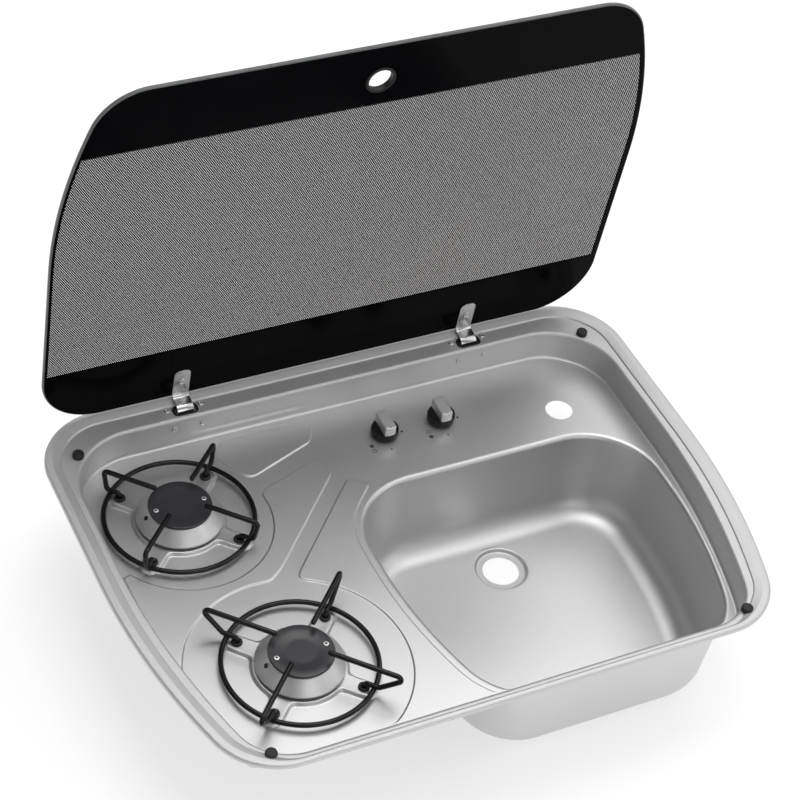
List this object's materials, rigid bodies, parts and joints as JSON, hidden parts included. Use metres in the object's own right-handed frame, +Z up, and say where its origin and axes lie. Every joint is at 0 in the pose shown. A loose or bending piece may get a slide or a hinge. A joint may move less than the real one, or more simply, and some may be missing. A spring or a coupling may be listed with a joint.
{
  "type": "hob and sink combo",
  "caption": "Gas hob and sink bowl pressed in one stainless tray for a camper van worktop, with wire pan supports, push-and-turn knobs and a hinged black glass lid.",
  "frame": {"origin": "middle of the tray's plan, at the level of the worktop that the rim rests on", "axes": "+X to the user's right (bowl side), +Y to the rear (hinge side), +Z up"},
  "size_m": [0.6, 0.445, 0.5393],
  "materials": {
    "stainless_steel": "satin pressed sheet",
    "black_glass": "toughened glass printed black, with a dot screen in the middle",
    "black_enamel": "glossy black enamel",
    "black_plastic": "matt black moulding",
    "grey_plastic": "silver-grey moulding",
    "black_rubber": "black rubber",
    "zinc_steel": "bright steel",
    "burner_aluminium": "bare aluminium",
    "brass": "machined",
    "copper_pipe": "drawn copper tube",
    "spring_steel": "drawn wire"
  },
  "bodies": {
    "tray": {"tray_rim": "stainless_steel", "well_wall": "stainless_steel", "hob_pan": "stainless_steel", "bowl_wall": "stainless_steel", "bowl_floor": "stainless_steel", "hinge_bracket_screws": "zinc_steel", "lid_bumpers": "black_rubber", "tap_bracket": "zinc_steel", "tap_bracket_screws": "zinc_steel", "gas_manifold": "brass", "inlet_union": "brass", "left_hinge_bracket": "zinc_steel", "left_hinge_pin": "zinc_steel", "left_slot_liner": "black_plastic", "left_gas_tap": "brass", "left_tap_cover": "brass", "left_spindle_spring": "spring_steel", "right_hinge_bracket": "zinc_steel", "right_hinge_pin": "zinc_steel", "right_slot_liner": "black_plastic", "right_gas_tap": "brass", "right_tap_cover": "brass", "right_spindle_spring": "spring_steel", "rear_trivet_grommets": "black_rubber", "rear_burner_cup": "burner_aluminium", "rear_injector": "brass", "rear_burner_skirt": "burner_aluminium", "rear_burner_cap": "black_enamel", "rear_cap_screws": "zinc_steel", "rear_feed_pipe": "copper_pipe", "rear_thermocouple": "copper_pipe", "front_trivet_grommets": "black_rubber", "front_burner_cup": "burner_aluminium", "front_injector": "brass", "front_burner_skirt": "burner_aluminium", "front_burner_cap": "black_enamel", "front_cap_screws": "zinc_steel", "front_feed_pipe": "copper_pipe", "front_thermocouple": "copper_pipe"},
    "lid": {"glass_lid": "black_glass", "lid_finger_ring": "black_plastic", "hinge_strap_screws": "zinc_steel", "left_hinge_strap": "zinc_steel", "right_hinge_strap": "zinc_steel"},
    "rear_support": {"rear_trivet": "black_enamel"},
    "front_support": {"front_trivet": "black_enamel"},
    "left_push": {"left_thrust_collar": "brass"},
    "left_knob": {"left_knob_skirt": "black_plastic", "left_knob_grip": "grey_plastic", "left_tap_spindle": "brass"},
    "right_push": {"right_thrust_collar": "brass"},
    "right_knob": {"right_knob_skirt": "black_plastic", "right_knob_grip": "grey_plastic", "right_tap_spindle": "brass"}
  },
  "joints": [
    {"name": "lid_hinge", "type": "hinge", "parent": "tray", "child": "lid", "pos_m": [0, 0.206, -0.0027], "axis": [1, 0, 0], "range_deg": [0, 83]},
    {"name": "left_knob_push", "type": "slide", "parent": "tray", "child": "left_push", "axis": [0, 0, -1], "range_m": [0, 0.0035], "stiffness_N_per_m": 800, "springref_m": -0.005, "deforming": ["left_spindle_spring"]},
    {"name": "left_knob_turn", "type": "hinge", "parent": "left_push", "child": "left_knob", "pos_m": [0.0325, 0.1365, -0.027], "axis": [0, 0, 1], "range_deg": [0, 190]},
    {"name": "right_knob_push", "type": "slide", "parent": "tray", "child": "right_push", "axis": [0, 0, -1], "range_m": [0, 0.0035], "stiffness_N_per_m": 800, "springref_m": -0.005, "deforming": ["right_spindle_spring"]},
    {"name": "right_knob_turn", "type": "hinge", "parent": "right_push", "child": "right_knob", "pos_m": [0.093, 0.1365, -0.027], "axis": [0, 0, 1], "range_deg": [0, 190]},
    {"name": "rear_trivet_lift", "type": "slide", "parent": "tray", "child": "rear_support", "axis": [0, 0, 1], "range_m": [0, 0.003]},
    {"name": "front_trivet_lift", "type": "slide", "parent": "tray", "child": "front_support", "axis": [0, 0, 1], "range_m": [0, 0.003]}
  ]
}
